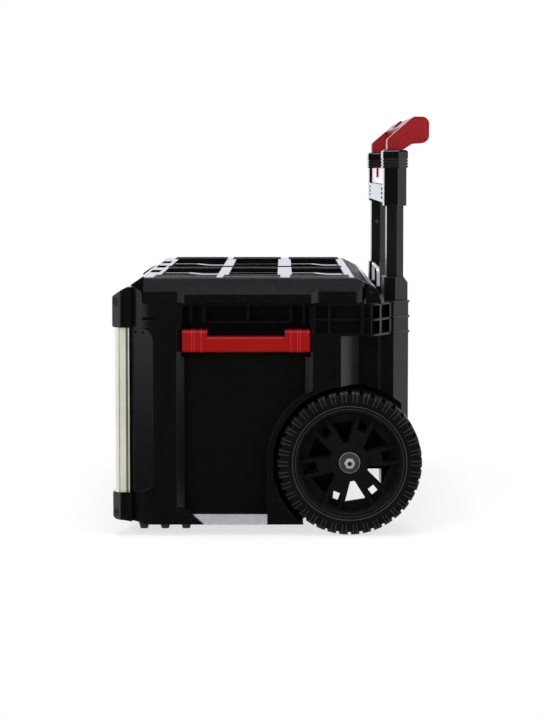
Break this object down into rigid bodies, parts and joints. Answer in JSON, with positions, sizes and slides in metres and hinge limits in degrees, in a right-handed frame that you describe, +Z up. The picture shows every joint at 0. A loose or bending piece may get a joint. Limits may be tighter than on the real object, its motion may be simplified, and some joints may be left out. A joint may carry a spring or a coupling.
{
  "type": "jobsite storage box",
  "caption": "Rolling hinged-lid storage box with side wheels, telescopic pull handle, swinging side handles and metal-edged front corners.",
  "frame": {"origin": "on the ground under the middle of the whole box, handle lowered", "axes": "+Z up, +X along the axle to the right seen from the front, -Y towards the latches"},
  "size_m": [0.53, 0.4374, 0.576],
  "materials": {
    "black_plastic": "satin moulded black",
    "red_plastic": "satin moulded red",
    "bright_aluminium": "brushed, clear anodised",
    "black_tube": "black powder coat",
    "dull_aluminium": "drawn tube",
    "tyre_rubber": "moulded tread",
    "rim_plastic": "fine grain",
    "bearing_plastic": "natural nylon",
    "zinc_steel": "zinc plated",
    "black_steel": "black oxide",
    "soft_rubber": "matt",
    "button_plastic": "satin"
  },
  "bodies": {
    "box": {"tub": "black_plastic", "hinge_rod": "zinc_steel", "axle": "zinc_steel", "cap_screws": "black_steel", "wheel_spacers": "bearing_plastic", "wheel_washers": "zinc_steel", "wheel_nuts": "zinc_steel", "cross_brace": "black_plastic", "brace_panel": "red_plastic", "grab_arch": "zinc_steel", "side_handle_pins_right": "zinc_steel", "side_handle_pins_left": "zinc_steel", "corner_profile_right": "bright_aluminium", "corner_profile_left": "bright_aluminium", "upper_corner_cap_right": "black_plastic", "upper_corner_cap_left": "black_plastic", "lower_corner_cap_right": "black_plastic", "lower_corner_cap_left": "black_plastic", "front_foot_right": "soft_rubber", "front_foot_left": "soft_rubber", "outer_tube_right": "black_tube", "outer_tube_left": "black_tube", "tube_socket_right": "black_plastic", "tube_socket_left": "black_plastic", "tube_sleeve_right": "black_plastic", "tube_sleeve_left": "black_plastic", "tube_collar_right": "black_plastic", "tube_collar_left": "black_plastic"},
    "lid": {"lid": "black_plastic", "lid_seal": "soft_rubber", "latch_pins": "zinc_steel"},
    "pull_handle": {"grip": "red_plastic", "inner_tube_right": "dull_aluminium", "inner_tube_left": "dull_aluminium", "lock_housing_right": "bearing_plastic", "lock_housing_left": "bearing_plastic"},
    "button": {"release_button": "button_plastic"},
    "latch_right": {"front_latch_right": "red_plastic"},
    "side_handle_right": {"side_handle_right": "red_plastic"},
    "plunger_right": {"lock_plunger_right": "zinc_steel"},
    "wheel_right": {"tyre_right": "tyre_rubber", "wheel_rim_right": "rim_plastic", "wheel_bush_right": "bearing_plastic"},
    "latch_left": {"front_latch_left": "red_plastic"},
    "side_handle_left": {"side_handle_left": "red_plastic"},
    "plunger_left": {"lock_plunger_left": "zinc_steel"},
    "wheel_left": {"tyre_left": "tyre_rubber", "wheel_rim_left": "rim_plastic", "wheel_bush_left": "bearing_plastic"}
  },
  "joints": [
    {"name": "lid_hinge", "type": "hinge", "parent": "box", "child": "lid", "pos_m": [0, 0.135, 0.3355], "axis": [-1, 0, 0], "range_deg": [0, 85]},
    {"name": "handle_slide", "type": "slide", "parent": "box", "child": "pull_handle", "axis": [0, 0, 1], "range_m": [0, 0.32]},
    {"name": "button_press", "type": "slide", "parent": "pull_handle", "child": "button", "axis": [0, 0.6498, -0.7601], "range_m": [0, 0.004], "stiffness_N_per_m": 400},
    {"name": "latch_right_hinge", "type": "hinge", "parent": "lid", "child": "latch_right", "pos_m": [0.12, -0.2096, 0.3255], "axis": [-1, 0, 0], "range_deg": [0, 100]},
    {"name": "side_handle_right_hinge", "type": "hinge", "parent": "box", "child": "side_handle_right", "pos_m": [0.243, -0.036, 0.277], "axis": [0, -1, 0], "range_deg": [0, 75]},
    {"name": "plunger_right_slide", "type": "slide", "parent": "pull_handle", "child": "plunger_right", "axis": [1, 0, 0], "range_m": [0, 0.003]},
    {"name": "wheel_right_spin", "type": "hinge", "parent": "box", "child": "wheel_right", "pos_m": [0.2365, 0.106, 0.1], "axis": [1, 0, 0], "continuous": true},
    {"name": "latch_left_hinge", "type": "hinge", "parent": "lid", "child": "latch_left", "pos_m": [-0.12, -0.2096, 0.3255], "axis": [-1, 0, 0], "range_deg": [0, 100]},
    {"name": "side_handle_left_hinge", "type": "hinge", "parent": "box", "child": "side_handle_left", "pos_m": [-0.243, -0.036, 0.277], "axis": [0, 1, 0], "range_deg": [0, 75]},
    {"name": "plunger_left_slide", "type": "slide", "parent": "pull_handle", "child": "plunger_left", "axis": [-1, 0, 0], "range_m": [0, 0.003]},
    {"name": "wheel_left_spin", "type": "hinge", "parent": "box", "child": "wheel_left", "pos_m": [-0.2365, 0.106, 0.1], "axis": [1, 0, 0], "continuous": true}
  ],
  "couplings": [
    {"joint": "plunger_right_slide", "follows": "button_press", "ratio": 0.75},
    {"joint": "plunger_left_slide", "follows": "button_press", "ratio": 0.75}
  ]
}
